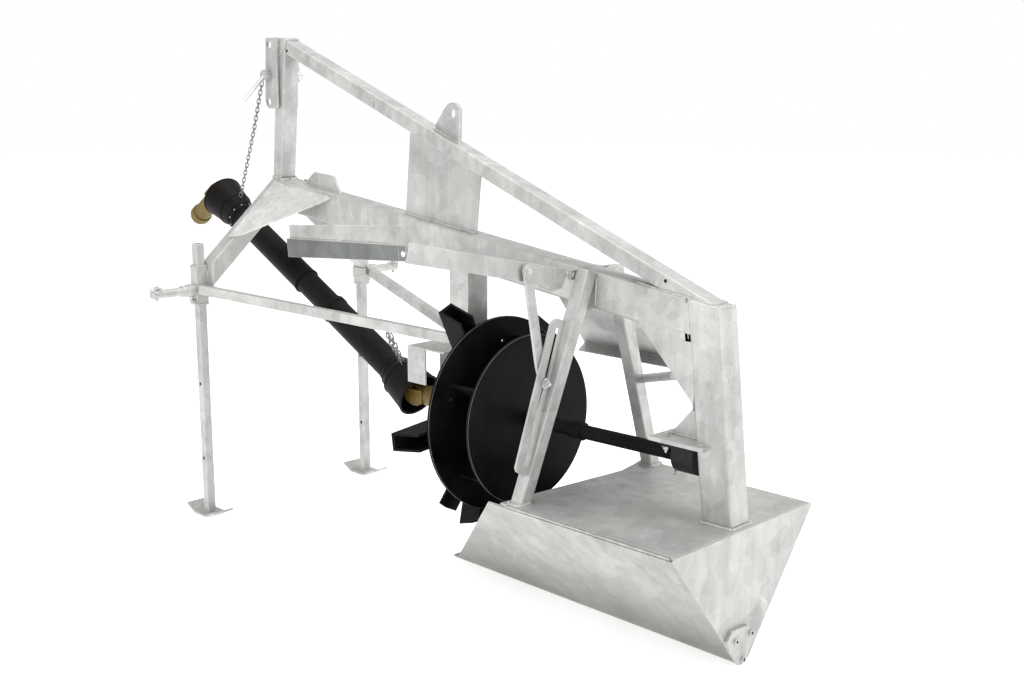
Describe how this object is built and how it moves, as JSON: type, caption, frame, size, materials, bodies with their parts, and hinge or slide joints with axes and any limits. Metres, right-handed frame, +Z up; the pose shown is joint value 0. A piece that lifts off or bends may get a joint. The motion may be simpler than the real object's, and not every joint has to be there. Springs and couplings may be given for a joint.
{
  "type": "rotary ditcher",
  "caption": "Tractor-mounted rotary ditcher: galvanized three-point frame, bladed rotor behind a drive shaft, spoil deflector wings and a trailing V-shaped ditch shoe",
  "frame": {"origin": "centre of the footprint, on the ground", "axes": "X runs rearwards from the hitch to the shoe, Y across the machine, Z up"},
  "size_m": [2.5703, 1.1672, 1.62],
  "materials": {
    "galvanized": "hot-dip galvanized, dull spangle",
    "black_paint": "semi-gloss black paint",
    "yellow_paint": "gloss yellow paint",
    "guard_plastic": "matte moulded plastic",
    "dark_green_paint": "worn dark green paint",
    "plated_steel": "zinc plated"
  },
  "bodies": {
    "root": {"brace_far": "galvanized", "brace_near": "galvanized", "brace_strut": "galvanized", "centre_column": "galvanized", "chain_lower": "plated_steel", "chain_upper": "plated_steel", "corner_gusset_far": "galvanized", "corner_gusset_near": "galvanized", "leg_far": "galvanized", "leg_near": "galvanized", "lower_link_pin_far": "plated_steel", "lower_link_pin_near": "plated_steel", "main_beam": "galvanized", "mast": "galvanized", "mid_plate": "galvanized", "rear_bearing": "dark_green_paint", "rear_column": "galvanized", "rear_gusset_far": "galvanized", "rear_gusset_near": "galvanized", "shoe_deck": "galvanized", "shoe_rear": "galvanized", "shoe_side_far": "galvanized", "shoe_side_near": "galvanized", "shoe_sole": "galvanized", "slot_plate": "galvanized", "stand_sleeve_far": "galvanized", "stand_sleeve_near": "galvanized", "stay_far": "galvanized", "stay_near": "galvanized", "top_brace": "galvanized", "top_link_plate_far": "galvanized", "top_link_plate_near": "galvanized", "wear_plate": "plated_steel", "wing_hinge_far": "plated_steel", "wing_hinge_near": "plated_steel"},
    "rotor": {"rotor_shaft": "black_paint", "rotor_yoke": "yellow_paint", "disc_front": "black_paint", "disc_rear": "black_paint", "paddle_1": "black_paint", "paddle_2": "black_paint", "paddle_3": "black_paint", "paddle_4": "black_paint", "paddle_5": "black_paint"},
    "drive_guard_lower": {"guard_lower": "guard_plastic"},
    "drive_lower": {"drive_yoke_lower": "yellow_paint"},
    "drive_guard_upper": {"guard_upper": "guard_plastic"},
    "drive_upper": {"drive_yoke_upper": "yellow_paint"},
    "tractor_fork": {"tractor_yoke": "yellow_paint"},
    "stand_near": {"stand_near": "galvanized"},
    "stand_far": {"stand_far": "galvanized"},
    "stand_pin_near": {"stand_pin_near": "plated_steel"},
    "stand_pin_far": {"stand_pin_far": "plated_steel"},
    "linch_near": {"linch_pin_near": "plated_steel"},
    "linch_far": {"linch_pin_far": "plated_steel"},
    "top_pin": {"top_link_pin": "plated_steel"},
    "wing_near": {"wing_near": "galvanized"},
    "wing_far": {"wing_far": "galvanized"},
    "strap": {"wing_strap": "galvanized"},
    "slot_bolt": {"slot_bolt": "plated_steel"}
  },
  "joints": [
    {"name": "rotor_spin", "type": "hinge", "parent": "root", "child": "rotor", "pos_m": [0.3869, 0.0636, 0.4973], "axis": [0.9999, 0, 0.014], "continuous": true},
    {"name": "drive_swing", "type": "hinge", "parent": "root", "child": "drive_guard_lower", "pos_m": [0.0049, 0.0636, 0.492], "axis": [0, 1, 0], "range_deg": [0, 7], "deforming": ["chain_upper", "chain_lower"]},
    {"name": "drive_lower_spin", "type": "hinge", "parent": "drive_guard_lower", "child": "drive_lower", "pos_m": [0.0049, 0.0636, 0.492], "axis": [0.8883, 0, -0.4593], "continuous": true},
    {"name": "drive_telescope", "type": "slide", "parent": "drive_guard_lower", "child": "drive_guard_upper", "axis": [-0.8883, 0, 0.4593], "range_m": [-0.08, 0.1]},
    {"name": "drive_upper_spin", "type": "hinge", "parent": "drive_guard_upper", "child": "drive_upper", "pos_m": [-1.11311, 0.0636, 1.07004], "axis": [0.8883, 0, -0.4593], "continuous": true},
    {"name": "fork_lift", "type": "hinge", "parent": "drive_upper", "child": "tractor_fork", "pos_m": [-1.11311, 0.0636, 1.07004], "axis": [0, 1, 0], "range_deg": [0, 90]},
    {"name": "stand_raise_near", "type": "slide", "parent": "root", "child": "stand_near", "axis": [0, 0, 1], "range_m": [0, 0.56]},
    {"name": "stand_raise_far", "type": "slide", "parent": "root", "child": "stand_far", "axis": [0, 0, 1], "range_m": [0, 0.56]},
    {"name": "stand_pin_pull_near", "type": "slide", "parent": "root", "child": "stand_pin_near", "axis": [0, -1, 0], "range_m": [0, 0.03]},
    {"name": "stand_pin_pull_far", "type": "slide", "parent": "root", "child": "stand_pin_far", "axis": [0, 1, 0], "range_m": [0, 0.03]},
    {"name": "linch_pull_near", "type": "slide", "parent": "root", "child": "linch_near", "axis": [0, 0, 1], "range_m": [0, 0.05]},
    {"name": "linch_pull_far", "type": "slide", "parent": "root", "child": "linch_far", "axis": [0, 0, 1], "range_m": [0, 0.05]},
    {"name": "top_pin_pull", "type": "slide", "parent": "root", "child": "top_pin", "axis": [0, -1, 0], "range_m": [0, 0.038]},
    {"name": "wing_near_tilt", "type": "hinge", "parent": "root", "child": "wing_near", "pos_m": [0.4869, -0.0114, 0.955], "axis": [1, 0, 0], "range_deg": [-14, 18]},
    {"name": "wing_far_tilt", "type": "hinge", "parent": "root", "child": "wing_far", "pos_m": [0.4869, 0.1386, 0.955], "axis": [1, 0, 0], "range_deg": [-3, 60]},
    {"name": "strap_turn", "type": "hinge", "parent": "wing_near", "child": "strap", "pos_m": [0.7329, -0.1888, 0.9809], "axis": [1, 0, 0], "range_deg": [-24, 24]},
    {"name": "slot_bolt_travel", "type": "slide", "parent": "root", "child": "slot_bolt", "axis": [0, -0.3237, -0.9462], "range_m": [-0.09, 0.09]}
  ],
  "couplings": [
    {"joint": "drive_lower_spin", "follows": "rotor_spin", "ratio": 1},
    {"joint": "drive_upper_spin", "follows": "rotor_spin", "ratio": 1},
    {"joint": "strap_turn", "follows": "wing_near_tilt", "ratio": -1.1529},
    {"joint": "slot_bolt_travel", "follows": "wing_near_tilt", "m_per_rad": 0.19559}
  ]
}
